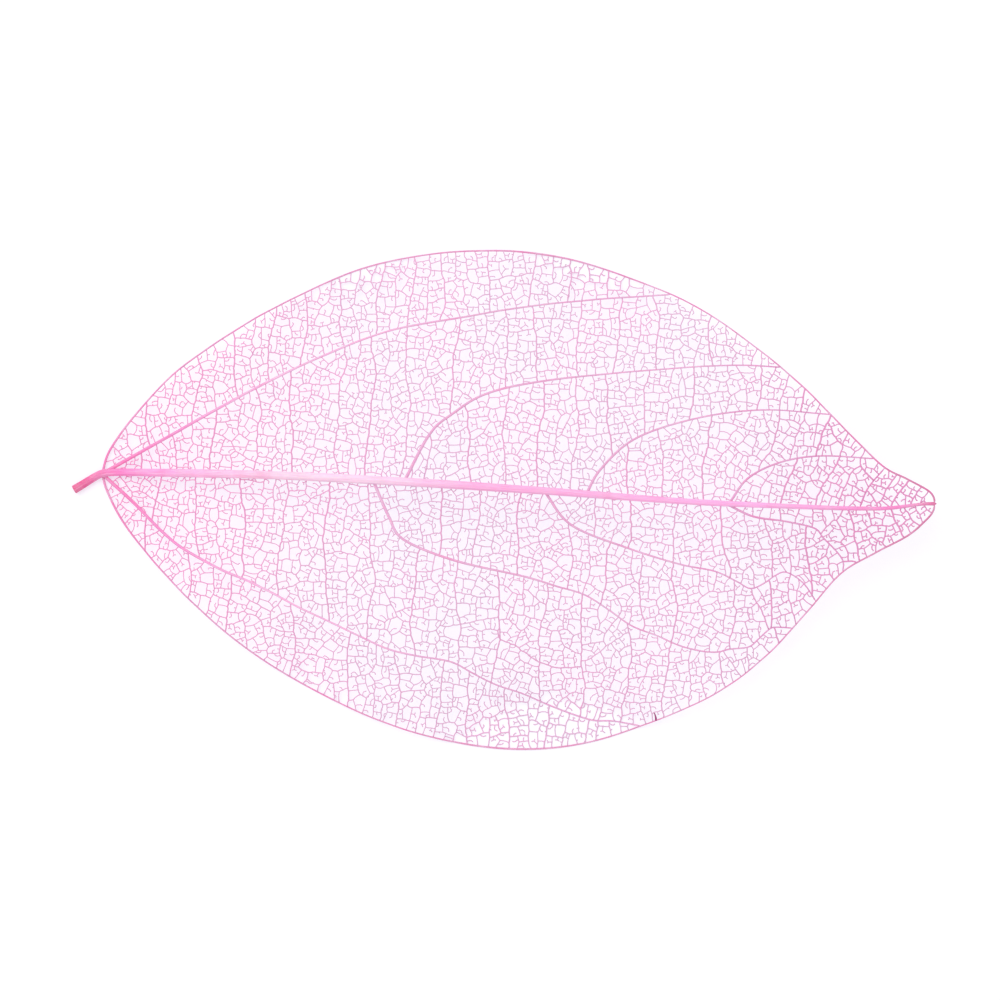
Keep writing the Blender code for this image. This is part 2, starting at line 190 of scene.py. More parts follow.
class Dye:
    """A number, colour or vector on its way through a material's nodes."""

    def __init__(self, tree, socket=None):
        self.tree = tree
        self.socket = socket

    def node(self, kind, settings=None, sockets=None, out=0):
        made = self.tree.nodes.new(kind)
        for key, value in (settings or {}).items():
            if key == "stops":
                for number, (place, colour) in enumerate(value):
                    stops = made.color_ramp.elements
                    stop = stops[number] if number < len(stops) else stops.new(place)
                    stop.position = place
                    stop.color = colour
            else:
                setattr(made, key, value)
        fill(self.tree, made, sockets or {})
        return Dye(self.tree, made.outputs[out])

    def maths(self, operation, *values):
        return self.node("ShaderNodeMath", {"operation": operation}, dict(enumerate(values)))

    def __add__(self, other):
        return self.maths("ADD", self, other)

    def __sub__(self, other):
        return self.maths("SUBTRACT", self, other)

    def __mul__(self, other):
        return self.maths("MULTIPLY", self, other)

    __radd__ = __add__

    def between(self, low, high):
        """How far the number has come from low to high, from 0 to 1 and eased."""
        sockets = {"Value": self, "From Min": low, "From Max": high}
        return self.node("ShaderNodeMapRange", {"interpolation_type": "SMOOTHSTEP"}, sockets)

    def stretched(self, *scale):
        return self.node("ShaderNodeVectorMath", {"operation": "MULTIPLY"}, {0: self, 1: scale})

    def grain(self, scale, detail):
        return self.node("ShaderNodeTexNoise", None, {"Vector": self, "Scale": scale, "Detail": detail})

    def mixed(self, one, other):
        """The one colour where the number is 0 and the other where it is 1."""
        # In a colour mix the factor and the two colours are sockets 0, 6 and 7, and the result is output 2
        return self.node("ShaderNodeMix", {"data_type": "RGBA"}, {0: self, 6: one, 7: other}, 2)


def shade(red, green, blue):
    """A colour as linear light, from the values a picture holds for it."""
    return (*(((value / 255 + 0.055) / 1.055) ** 2.4 for value in (red, green, blue)), 1.0)


def dyed_strands(name, dye, furrows, patchy):
    """Dyed vein strands: colour drifts along the leaf, and streaks and furrows follow the strands."""
    material = bpy.data.materials.new(name)
    material.use_nodes = True
    tree = material.node_tree
    start = Dye(tree)
    place = start.node("ShaderNodeTexCoord", None, None, "Object")
    strand = start.node("ShaderNodeUVMap", {"uv_map": "strand"})
    along = start.node("ShaderNodeSeparateXYZ", None, {0: place})
    first, last = dye[0][0], dye[-1][0]
    gone = (along - (FOOT_X + first * MM)) * (1 / ((last - first) * MM))
    stops = [((x - first) / (last - first), shade(*colour)) for x, *colour in dye]
    colour = start.node("ShaderNodeValToRGB", {"stops": stops}, {0: gone})
    faded = place.grain(420.0, 3.0).between(0.46, 0.66)
    colour = (faded * patchy).mixed(colour, shade(*FADED_PATCH))
    deep = place.grain(300.0, 3.0).between(0.52, 0.72)
    colour = (deep * patchy).mixed(colour, shade(*DEEP_PATCH))
    streak = strand.stretched(furrows, 0.35, 1.0).grain(1.0, 4.0)
    colour = (streak.between(0.52, 0.72) * STREAK_SHARE).mixed(colour, shade(*PALE_STREAK))
    colour = (streak.between(0.48, 0.26) * STREAK_SHARE).mixed(colour, shade(*DARK_STREAK))
    relief = streak + place.grain(5200.0, 2.0) * 0.5
    bump = {"Strength": 0.5, "Distance": 0.00005, "Height": relief}
    fill(tree, tree.nodes["Principled BSDF"], {
        "Base Color": colour,
        "Roughness": VEIN_ROUGHNESS + streak * ROUGHNESS_SWING,
        "Normal": start.node("ShaderNodeBump", None, bump),
        "Specular IOR Level": 0.35,
        "Subsurface Weight": 0.25,
        "Subsurface Radius": (1.0, 0.35, 0.6),
        "Subsurface Scale": 0.0003,
    })
    return material


def finished(name, mesh, material):
    """A new piece of the leaf, which stands for the solid and goes with it."""
    mesh.materials.append(material)
    mesh.shade_smooth()
    piece = bpy.data.objects.new(name, mesh)
    bpy.context.scene.collection.objects.link(piece)
    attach(piece, "root")
    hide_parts("skeleton_leaf")


def lay_vein(name, line, girths, material, sides, strands, furrow=FURROW, flat=FLATNESS, cut=False):
    """A bundle of strands along a line in plan, lying on the leaf's underside.

    Both ends are round, or the first one is cut off.
    """
    pace = np.hypot(*np.diff(line, axis=0).T)
    gone = np.concatenate(([0], np.cumsum(pace)))
    middle = standing(line, girths * flat / 2)
    run = np.gradient(middle, axis=0)
    run /= np.linalg.norm(run, axis=1)[:, None]
    aside = np.column_stack((-run[:, 1], run[:, 0], np.zeros(len(run))))
    aside /= np.linalg.norm(aside, axis=1)[:, None]
    up = np.cross(run, aside)
    turn = np.linspace(0, 2 * math.pi, sides, endpoint=False)
    furrows = 1 + furrow * np.cos(strands * turn[None, :] + FURROW_TWIST * gone[:, None])
    second = (strands - 2) * turn[None, :] + SECOND_TWIST * gone[:, None] + 1.0
    furrows += 0.5 * furrow * np.sin(second)
    left = gone[-1] - gone if cut else np.minimum(gone, gone[-1] - gone)
    rounding = np.sqrt(np.clip(1 - (1 - left / (girths / 2)).clip(0) ** 2, ROUND_END, 1))
    radii = girths / 2 * MM * rounding
    rings = middle[:, None] + aside[:, None] * (np.cos(turn) * furrows * radii[:, None])[..., None]
    rings += up[:, None] * (np.sin(turn) * furrows * radii[:, None] * flat)[..., None]
    end = middle[0] + run[0] * (PITH_DEPTH * MM if cut else 0)
    if cut:
        rim = middle[0] + (rings[0] - middle[0]) * RIM_SHARE - run[0] * RIM_CURL * MM
        pith = middle[0] + (rings[0] - middle[0]) * PITH_SHARE + run[0] * PITH_DEPTH / 2 * MM
        rings = np.concatenate((pith[None], rim[None], rings))
        gone = np.concatenate(([0, 0], gone))
    points = np.vstack((rings.reshape(-1, 3), end, middle[-1]))
    points[:, 2] = np.maximum(points[:, 2], 0)
    faces = []
    coordinates = []
    for ring in range(len(rings) - 1):
        here = ring * sides
        for side in range(sides):
            after = (side + 1) % sides
            faces.append((here + side, here + after, here + sides + after, here + sides + side))
            u, v = side / sides, (side + 1) / sides
            coordinates += [(u, gone[ring]), (v, gone[ring]), (v, gone[ring + 1]), (u, gone[ring + 1])]
    last = (len(rings) - 1) * sides
    for side in range(sides):
        after = (side + 1) % sides
        faces.append((after, side, len(points) - 2))
        coordinates += [((side + 1) / sides, 0), (side / sides, 0), (0.5, 0)]
        faces.append((last + side, last + after, len(points) - 1))
        coordinates += [(side / sides, gone[-1]), ((side + 1) / sides, gone[-1]), (0.5, gone[-1])]
    mesh = bpy.data.meshes.new(name)
    mesh.from_pydata(points, [], faces)
    mesh.uv_layers.new(name="strand").data.foreach_set("uv", np.array(coordinates).ravel())
    mesh.update()
    finished(name, mesh, material)


midrib_line = smooth_line((*STALK, *MIDRIB), MIDRIB_PACE)
midrib_girths = np.interp(midrib_line[:, 0], *zip(*MIDRIB_GIRTH))
midrib_dye = dyed_strands("dyed_midrib", MIDRIB_DYE, furrows=30.0, patchy=0.25)
lay_vein(
    "stalk_and_midrib", midrib_line, midrib_girths, midrib_dye,
    MIDRIB_SIDES, MIDRIB_STRANDS, MIDRIB_FURROW, cut=True,
)

# The side veins. Four or five a side leave the midrib at a slant, arch towards the tip and run into the
# edge. The first pair springs from the foot of the blade and stays near the edge for two thirds of its
# length. Each is a few strands that split off the midrib's bundle.
HALVES = ("upper", "lower")
UPPER_SIDE_VEINS = (
    (FOOT, (7.2, 4.3), (13.2, 7.9), (19.2, 11.3), (24.4, 13.9), (28.9, 15.8), (32.8, 16.9), (37.4, 17.8),
     (42.0, 18.8), (47.6, 19.8), (53.6, 20.6), (59.8, 21.2)),
    ((32.3, 0.3), (34.8, 5.4), (37.1, 7.6), (40.7, 9.9), (47.0, 11.5), (57.0, 12.9), (66.0, 13.8),
     (71.6, 13.8)),
    ((51.4, -0.4), (52.9, 2.4), (56.4, 5.7), (62.5, 8.0), (69.5, 9.2), (77.0, 9.0)),
    ((66.5, -0.7), (68.4, 2.0), (71.8, 3.8), (76.0, 4.6), (81.6, 4.5)),
    ((80.2, -0.65), (81.0, 1.4), (82.7, 3.6)),
)
LOWER_SIDE_VEINS = (
    (FOOT, (3.7, -3.1), (6.7, -5.9), (9.2, -7.7), (13.2, -9.7), (16.1, -10.8), (18.8, -12.0),
     (21.4, -13.3), (25.6, -15.1), (28.4, -16.3), (31.1, -17.4), (34.1, -18.0), (37.2, -18.4),
     (38.6, -18.8), (39.9, -19.5), (42.6, -20.8), (45.5, -21.7), (48.2, -22.8), (51.1, -23.8),
     (53.3, -24.35), (55.4, -24.35), (58.3, -24.75)),
    ((29.0, 0.4), (30.8, -3.4), (32.5, -5.8), (38.0, -7.8), (45.3, -9.2), (48.7, -10.1), (51.7, -10.9),
     (54.3, -12.4), (56.8, -14.0), (59.5, -14.95), (61.9, -15.9), (64.2, -16.4), (65.9, -16.45),
     (67.2, -16.1), (69.2, -15.8), (70.1, -15.0), (71.0, -14.1), (71.6, -13.65), (72.7, -13.6),
     (73.8, -13.65)),
    ((47.0, -0.1), (50.0, -3.6), (56.0, -5.8), (61.5, -7.3), (65.2, -7.9), (67.6, -8.9), (69.1, -9.6),
     (70.5, -9.0), (71.7, -8.1), (72.8, -7.75), (74.6, -8.8), (76.1, -10.75)),
    ((66.0, -0.7), (69.0, -2.0), (72.4, -2.4), (75.5, -3.0), (76.5, -4.0), (77.9, -5.3), (78.7, -6.4),
     (78.7, -7.5)),
)
# Girth where each vein leaves the midrib, and where it reaches the edge
UPPER_SIDE_GIRTHS = ((0.37, 0.16), (0.32, 0.15), (0.28, 0.15), (0.25, 0.15), (0.19, 0.14))
LOWER_SIDE_GIRTHS = ((0.36, 0.15), (0.32, 0.15), (0.28, 0.15), (0.25, 0.16))
SIDE_TAPER = 1.7
SIDE_PACE = 0.35
SIDE_DYE = (
    (-1, 245, 125, 185), (8, 240, 150, 205), (18, 240, 185, 220), (38, 225, 170, 205), (60, 225, 170, 205),
    (88, 215, 130, 185),
)


def tapered(line, first, last):
    """Girths along a side vein, which thins quickly where it starts and slowly further on."""
    return last + (first - last) * np.linspace(1, 0, len(line)) ** SIDE_TAPER


side_dye = dyed_strands("dyed_side_veins", SIDE_DYE, furrows=14.0, patchy=0.3)
side_lines = [
    [smooth_line(places, SIDE_PACE) for places in side_veins]
    for side_veins in (UPPER_SIDE_VEINS, LOWER_SIDE_VEINS)
]
side_girths = [
    [tapered(line, *ends) for line, ends in zip(lines, girths)]
    for lines, girths in zip(side_lines, (UPPER_SIDE_GIRTHS, LOWER_SIDE_GIRTHS))
]
for half, lines, own_girths in zip(HALVES, side_lines, side_girths):
    for number, (line, girths) in enumerate(zip(lines, own_girths), 1):
        lay_vein(f"side_vein_{half}_{number}", line, girths, side_dye, sides=14, strands=4)

# The edge vein. One thin vein binds each edge from the foot to the blunt tip, where the two meet round the
# end of the midrib. It is redder and duller than the rest.
UPPER_EDGE = (
    FOOT, (0.8, 2.6), (3.4, 6.4), (7.5, 11.0), (13.6, 15.6), (19.4, 19.2), (26.2, 22.6), (33.0, 24.4),
    (41.0, 25.2), (48.0, 24.8), (55.0, 23.0), (62.0, 20.2), (68.0, 16.4), (73.7, 12.0), (78.7, 7.2),
    (82.4, 3.8), (85.0, 2.5), (87.2, 1.4), (87.85, 0.7), TIP,
)
LOWER_EDGE = (
    FOOT, (0.7, -2.0), (2.6, -5.2), (6.4, -9.6), (11.0, -14.0), (16.4, -18.2), (22.6, -21.8),
    (30.0, -25.0), (38.0, -27.1), (45.6, -27.7), (52.8, -26.7), (60.0, -24.0), (66.4, -20.6),
    (71.4, -16.4), (75.4, -11.6), (78.6, -7.6), (82.0, -5.4), (85.4, -3.4), (87.2, -1.7), (87.85, -0.8),
    TIP,
)
EDGE_GIRTH = (
    (0, 0.26), (5, 0.18), (20, 0.16), (32, 0.16), (45, 0.2), (56, 0.15), (66, 0.14), (79, 0.17),
    (84, 0.2), (88, 0.21),
)
EDGE_PACE = 0.35
EDGE_DYE = ((-1, 235, 130, 185), (10, 220, 150, 190), (76, 220, 145, 185), (88, 205, 120, 160))

edge_dye = dyed_strands("dyed_edge", EDGE_DYE, furrows=10.0, patchy=0.45)
edge_lines = [smooth_line(places, EDGE_PACE) for places in (UPPER_EDGE, LOWER_EDGE)]
edge_girths = [np.interp(line[:, 0], *zip(*EDGE_GIRTH)) for line in edge_lines]
for half, line, girths in zip(HALVES, edge_lines, edge_girths):
    lay_vein(f"edge_vein_{half}", line, girths, edge_dye, sides=12, strands=3)

# A fleck. One scrap of dead tissue, left by the retting, clings to the lower edge and took the dye darkest.
# It is flatter and rougher than a vein, and narrows inwards from the edge.
FLECK = ((59.86, -24.12), (59.85, -23.82), (59.74, -23.46), (59.56, -23.12))
FLECK_GIRTHS = (0.22, 0.2, 0.14, 0.08)
FLECK_PACE = 0.06
FLECK_FURROW = 0.16
FLECK_FLATNESS = 0.7
FLECK_DYE = ((58, 138, 40, 102), (61, 158, 54, 120))

fleck_dye = dyed_strands("dyed_fleck", FLECK_DYE, furrows=6.0, patchy=0.3)
fleck_line = smooth_line(FLECK, FLECK_PACE)
stations = range(len(FLECK_GIRTHS))
fleck_girths = np.interp(np.linspace(0, stations[-1], len(fleck_line)), stations, FLECK_GIRTHS)
lay_vein(
    "edge_fleck", fleck_line, fleck_girths, fleck_dye,
    sides=12, strands=3, furrow=FLECK_FURROW, flat=FLECK_FLATNESS,
)

# The net. Cross veins run from side vein to side vein and out to the edge. Thinner veins part the blade
# between them again and again, the short way and squarely, down to meshes a millimetre wide. Most hold a
# veinlet that ends free.
NET_SEED = 5
MIDRIB_NUMBER = 2
MIDRIB_VEIN, SIDE_VEIN, EDGE_VEIN, STRONG_CROSS, WEAK_CROSS, LACE, FINE, FREE = range(8)
# Main veins in the order in which they hold shared ends
HOLDERS = (EDGE_VEIN, MIDRIB_VEIN, SIDE_VEIN)
# Spots compared with a line at a time
CHUNK = 2000
# Gaps at which two ends are one, and below which a vein is closed up
SAME_END = 0.06
SHORTEST = 0.24
# Cross veins: spacing along the midrib, where strong ones stop, how far they run out, pace and sway
CROSS_SPACING = 4.2
SPACING_SHARES = (0.75, 1.25)
MOST_CROSSES = 30
WEAK_FROM = 74.5
CROSS_REACH = 28.5
CROSS_PACE = 0.25
CROSS_SWAY = 0.35
# Turns of the sway in radians a millimetre, outwards and along the midrib
SLOW_SWAY = (0.4, 0.35)
QUICK_SWAY = (1.0, 2.3)
QUICK_SHARE = 0.5
# How far cross veins lean forward near the tip, above and below the midrib, and from where
TIP_LEANS = (0.75, 0.4)
LEAN_FROM = 62
LEAN_OVER = 18
# A thinner one may run halfway between two
HALFWAY_SHARE = 0.6
HALFWAY_DRIFT = 0.3
# The gap that a cross vein keeps to others between its ends
NARROWEST = 0.5
# Steps of a cross vein's walk: the fewest that make a vein, those at its ends that may lie close to others,
# those that are left out there, and those between bends
FEWEST_STEPS = 5
CLOSE_STEPS = 4
END_STEPS = 3
BEND_STEPS = 4
# Starts of the cross veins that can be made out, by half and rung between side veins
KNOWN_CROSSES = {
    (1, 0): (5.2, 9.6, 14.3, 20.8, 27.2, 32.2, 36.8, 40.0, 44.0, 48.0, 52.6),
    (1, 1): (
        6.0, 10.4, 15.2, 19.5, 24.3, 29.0, 33.9, 38.4, 42.6, 47.4, 51.7, 56.4, 60.8, 65.4, 69.9, 73.7,
    ),
}
# Veins that stand out from the net: their half, rung, and the places they pass
ODD_VEINS = (
    (1, 2, ((69.1, -9.6), (70.0, -11.3), (70.7, -12.4), (71.1, -13.7))),
    (1, 4, ((78.6, -6.4), (79.5, -6.36), (80.6, -6.5))),
    (0, 3, ((78.8, 4.4), (77.8, 5.8), (77.2, 7.2), (76.3, 9.3))),
    (0, 4, ((81.4, 2.4), (80.9, 3.0), (79.9, 3.9), (78.8, 4.7))),
    (1, 1, ((41.9, -14.4), (42.9, -15.9), (44.3, -16.6), (45.6, -17.2), (47.6, -18.5), (49.0, -18.8),
            (52.1, -18.8))),
)
# Areas of meshes, which shrink over a stretch of x near the tip, and of those that stouter veins part
MESH_AREA = 1.17
TIP_MESH_AREA = 0.82
SHRINKING = (70, 82)
LACE_AREA = 4.6
# Cuts tried across a mesh: drift from its middle, the part of chance in the choice, the cost of a slant,
# and the gap to other joints
CUTS = 14
CUT_DRIFT = 0.03
CUT_CHANCE = 0.3
SQUARENESS = 0.7
CLEARANCE = 0.36
# A way that never meets the outline, and a cost that rules a cut out
ENDLESS = 1e6
RULED_OUT = 1e5
# How hard veins pull by rank, where a joining vein may stand, and how far it goes there each round
PULL = (12.0, 8.0, 8.0, 4.5, 3.2, 2.0, 1.0, 1.0)
SQUARE_STRETCH = (0.25, 0.75)
SQUARING = 0.35
DRAWING_ROUNDS = 4
CLOSING_ROUNDS = 12
# Veinlets that end free: shares of meshes with one, two or a branching one, and the width of mesh from
# which there may be two or a bent one
FREE_SHARE = 0.9
SECOND_SHARE = 0.45
BRANCH_SHARE = 0.3
WIDE_FOR_TWO = 0.6
WIDE_FOR_BEND = 0.5
# Where on a side they start, how many times the shortest it is, and the fewest ends round the mesh
START_SHARES = (0.35, 0.65)
SIDE_TIMES = 2.2
FEWEST_ENDS = 4
# How far the first and second reach to the middle, the least way there, and how far apart they start
FIRST_REACH = (0.6, 0.9)
SECOND_REACH = (0.3, 0.45)
LEAST_REACH = 0.3
LEAST_APART = 0.7
# How far a veinlet swings aside and on past its elbow, and the same for its branch
SWING = (0.25, 0.6)
PAST_ELBOW = 0.3
BRANCH_SWING = (0.6, 1)
BRANCH_PAST = 0.2
ELBOW_SHARE = 0.3
# Half widths by rank; strong cross veins thin out towards the edge, and all are stouter near the tip
HALF_WIDTHS = {STRONG_CROSS: 0.088, WEAK_CROSS: 0.073, LACE: 0.062, FINE: 0.052, FREE: 0.051}
THINNING = 0.2
STOUTER_AT_TIP = 0.3
STOUTER_FROM = 68
STOUTER_OVER = 14
# Tubes: height to width, waist, how far they bow, and the length from which they bend twice
ROUNDNESS = 1.1
WAIST = 0.9
BEND = 0.06
TWICE_BENT = 0.55
ONE_BEND = (0.5,)
TWO_BENDS = (0.34, 0.66)
# Corners between tubes: the sine below which two run straight on, a least share of half width there, and
# how far along a tube a corner may lie
STRAIGHT_ON = 0.35
LEAST_SHARE = 0.3
CORNER_REACH = 0.45
TINY = 1e-6
# Height of joints on a main vein, as a share of its girth, and how much of a height over RESTING is kept in
# a tube's middle
LIFT_SHARE = 0.46
KEPT_LIFT = 0.4
RESTING = 0.1
# Dye of the net at the foot, over most of the blade and at the tip, and the stretches of x where it changes;
# then of deeper patches, stout veins and specks, with their shares
FOOT_LACE = (240, 148, 198)
FOOT_STRETCH = (0, 34)
LACE_DYE = (223, 179, 209)
TIP_STRETCH = (60, 84)
TIP_LACE = (224, 148, 194)
DEEPER_LACE = (241, 162, 209)
DEEPER_SHARE = 0.45
STOUT_LACE = (229, 146, 193)
STOUT_SHARE = 0.5
SPECKLE = (188, 144, 188)
SPECKLE_SHARE = 0.35
LACE_ROUGHNESS = 0.55

net_rng = np.random.default_rng(NET_SEED)
blade_midrib = midrib_line[:, 0] >= 0
main_lines = [*edge_lines, midrib_line[blade_midrib], *side_lines[0], *side_lines[1]]
main_girths = [*edge_girths, midrib_girths[blade_midrib], *side_girths[0], *side_girths[1]]
first_upper = MIDRIB_NUMBER + 1
first_lower = first_upper + len(side_lines[0])
side_numbers = (range(first_upper, first_lower), range(first_lower, len(main_lines)))
# Where veins meet or end, in plan; each vein's rank, main line and stretch of blade, by its two ends; the
# ends round each mesh, in order; the meshes beside each vein; and ends that are only bends
places = []
veins = {}
meshes = {}
flanks = {}
mere_bends = set()


def beside(line, spots):
    """For each spot, the nearest point of a line, its number, and the gap."""
    spots = np.atleast_2d(spots)
    start, run = line[:-1], np.diff(line, axis=0)
    parts = []
    for chunk in np.array_split(spots, max(1, len(spots) // CHUNK)):
        off = chunk[:, None] - start
        along = np.clip((off * run).sum(2) / (run * run).sum(1), 0, 1)
        foot = start + run * along[..., None]
        gap = np.linalg.norm(chunk[:, None] - foot, axis=2)
        best = gap.argmin(1)
        row = np.arange(len(chunk))
        parts.append((foot[row, best], best, gap[row, best]))
    return [np.concatenate(part) for part in zip(*parts)]


def within(outline, spots):
    """Whether each spot lies inside an outline, by counting the sides that a ray from it crosses."""
    x, y = np.atleast_2d(spots).T
    ends = np.roll(outline, -1, axis=0)
    rising = (outline[:, 1] > y[:, None]) != (ends[:, 1] > y[:, None])
    fall = ends[:, 1] - outline[:, 1]
    slope = (ends[:, 0] - outline[:, 0]) / np.where(fall == 0, 1, fall)
    meet = outline[:, 0] + (y[:, None] - outline[:, 1]) * slope
    return np.count_nonzero(rising & (meet > x[:, None]), axis=1) % 2 == 1


def pair_of(a, b):
    return (a, b) if a < b else (b, a)


def add_end(place):
    places.append(np.array(place, dtype=float))
    return len(places) - 1


def add_vein(a, b, vein, sides=()):
    veins[pair_of(a, b)] = vein
    flanks[pair_of(a, b)] = set(sides)


def add_mesh(number, ends):
    meshes[number] = ends
    for a, b in zip(ends, ends[1:] + ends[:1]):
        flanks[pair_of(a, b)].add(number)


def lay_chain(start, between, stop, vein):
    """A vein from end to end through the places between, which gives the ends that it passes."""
    passed = [add_end(place) for place in between]
    mere_bends.update(passed)
    chain = [start, *passed, stop]
    for a, b in zip(chain, chain[1:]):
        add_vein(a, b, vein)
    return passed


def end_on(a, b, place):
    """A new end on the vein between two others."""
    new = add_end(place)
    vein = veins.pop(pair_of(a, b))
    sides = flanks.pop(pair_of(a, b))
    add_vein(a, new, vein, sides)
    add_vein(new, b, vein, sides)
    for number in sides:
        ends = meshes[number]
        at = next(k for k in range(len(ends)) if {ends[k - 1], ends[k]} == {a, b})
        ends.insert(at, new)
    return new


def outline_of(number):
    return np.array([places[end] for end in meshes[number]])


def end_at(number, spot):
    """An end at the point of a mesh's outline that is nearest to a spot."""
    ends = meshes[number]
    outline = outline_of(number)
    point, nearest, _ = beside(np.vstack((outline, outline[:1])), spot)
    a, b = ends[nearest[0]], ends[(nearest[0] + 1) % len(ends)]
    for end in (a, b):
        if math.dist(places[end], point[0]) < SAME_END:
            return end
    return end_on(a, b, point[0])


def part_mesh(number, start, stop, between, vein):
    """Parts a mesh along a vein from one of its ends to another, and gives the new mesh's number."""
    ends = meshes[number]
    for a, b in zip(ends, ends[1:] + ends[:1]):
        flanks[pair_of(a, b)].discard(number)
    ends = ends[ends.index(start):] + ends[:ends.index(start)]
    at = ends.index(stop)
    passed = lay_chain(start, between, stop, vein)
    mere_bends.difference_update((start, stop))
    new = len(meshes)
    add_mesh(number, ends[:at + 1] + passed[::-1])
    add_mesh(new, ends[at:] + [start] + passed)
    return new


def lay_along(parts, walk, vein, narrowest=0.0):
    """Runs a vein along a walk over each part of a stretch that it passes, unless that leaves a sliver."""
    for number in list(parts):
        outline = outline_of(number)
        inside = np.concatenate(([False], within(outline, walk), [False]))
        turns = np.flatnonzero(inside[1:] != inside[:-1])
        if len(turns) < 2 or turns[1] - turns[0] < FEWEST_STEPS:
            continue
        first, last = turns[0], turns[1] - 1
        core = walk[first + CLOSE_STEPS:last + 1 - CLOSE_STEPS]
        if len(core) and beside(np.vstack((outline, outline[:1])), core)[2].min() < narrowest:
            continue
        start = end_at(number, walk[first])
        stop = end_at(number, walk[last])
        if start != stop and pair_of(start, stop) not in veins:
            between = walk[first + END_STEPS:last + 1 - END_STEPS:BEND_STEPS]
            parts.append(part_mesh(number, start, stop, between, vein))


def cross_walk(x, hand):
    """The way of a cross vein out from the midrib. Near the tip it leans forward."""
    out = np.arange(0, CROSS_REACH, CROSS_PACE)
    lean = TIP_LEANS[hand < 0] * min(max((x - LEAN_FROM) / LEAN_OVER, 0), 1)
    slow, quick = [np.sin(turn * out + start * x) for turn, start in (SLOW_SWAY, QUICK_SWAY)]
    sway = CROSS_SWAY * (slow + QUICK_SHARE * quick)
    return np.column_stack((x + lean * out + sway, hand * out))


def part_again(number, stretch):
    """Parts a mesh that is too large by the best of several cuts, and gives the new mesh."""
    ends = meshes[number]
    outline = outline_of(number)
    run = np.roll(outline, -1, axis=0) - outline
    sweep = outline[:, 0] * run[:, 1] - outline[:, 1] * run[:, 0]
    area = sweep.sum() / 2
    centre = ((2 * outline + run) * sweep[:, None]).sum(0) / (6 * area)
    wanted = round(abs(area) / np.interp(centre[0], SHRINKING, (MESH_AREA, TIP_MESH_AREA)))
    if wanted < 2:
        return None
    size = math.sqrt(abs(area))
    turn = (np.arange(CUTS) + net_rng.random()) * math.pi / CUTS
    way = np.column_stack((np.cos(turn), np.sin(turn)))
    aside = np.column_stack((-way[:, 1], way[:, 0])) * net_rng.choice((-1, 1), (CUTS, 1))
    spread = np.ptp(outline @ aside.T, axis=0)
    middle = centre + aside * (spread * ((wanted // 2) / wanted - 0.5))[:, None]
    middle += net_rng.normal(0, CUT_DRIFT * size, (CUTS, 2))
    off = outline - middle[:, None]
    side = way[:, :1] * off[..., 1] - way[:, 1:] * off[..., 0]
    after = np.roll(side, -1, axis=1)
    crossed = (side > 0) != (after > 0)
    spot = outline + run * (side / np.where(crossed, side - after, 1))[..., None]
    along = ((spot - middle[:, None]) * way[:, None]).sum(2)
    ahead = np.where(crossed & (along > 0), along, ENDLESS)
    behind = np.where(crossed & (along <= 0), -along, ENDLESS)
    cost = (ahead.min(1) + behind.min(1)) / size + CUT_CHANCE * net_rng.random(CUTS)
    joints = np.array([places[end] for end in ends if end not in mere_bends])
    row = np.arange(CUTS)
    hits = (ahead.argmin(1), behind.argmin(1))
    for hit in hits:
        skew = way[:, 0] * run[hit, 1] - way[:, 1] * run[hit, 0]
        cost += SQUARENESS * (1 - abs(skew) / np.linalg.norm(run[hit], axis=1))
        gap = np.linalg.norm(spot[row, hit][:, None] - joints, axis=2).min(1)
        cost += np.clip(1 - gap / CLEARANCE, 0, 1)
    best = cost.argmin()
    one, other = int(hits[0][best]), int(hits[1][best])
    if cost[best] > RULED_OUT or one == other:
        return None
    sides = [(ends[k], ends[(k + 1) % len(ends)], spot[best, k]) for k in (one, other)]
    start, stop = [end_on(*side) for side in sides]
    return part_mesh(number, start, stop, (), (LACE if abs(area) > LACE_AREA else FINE, -1, stretch))


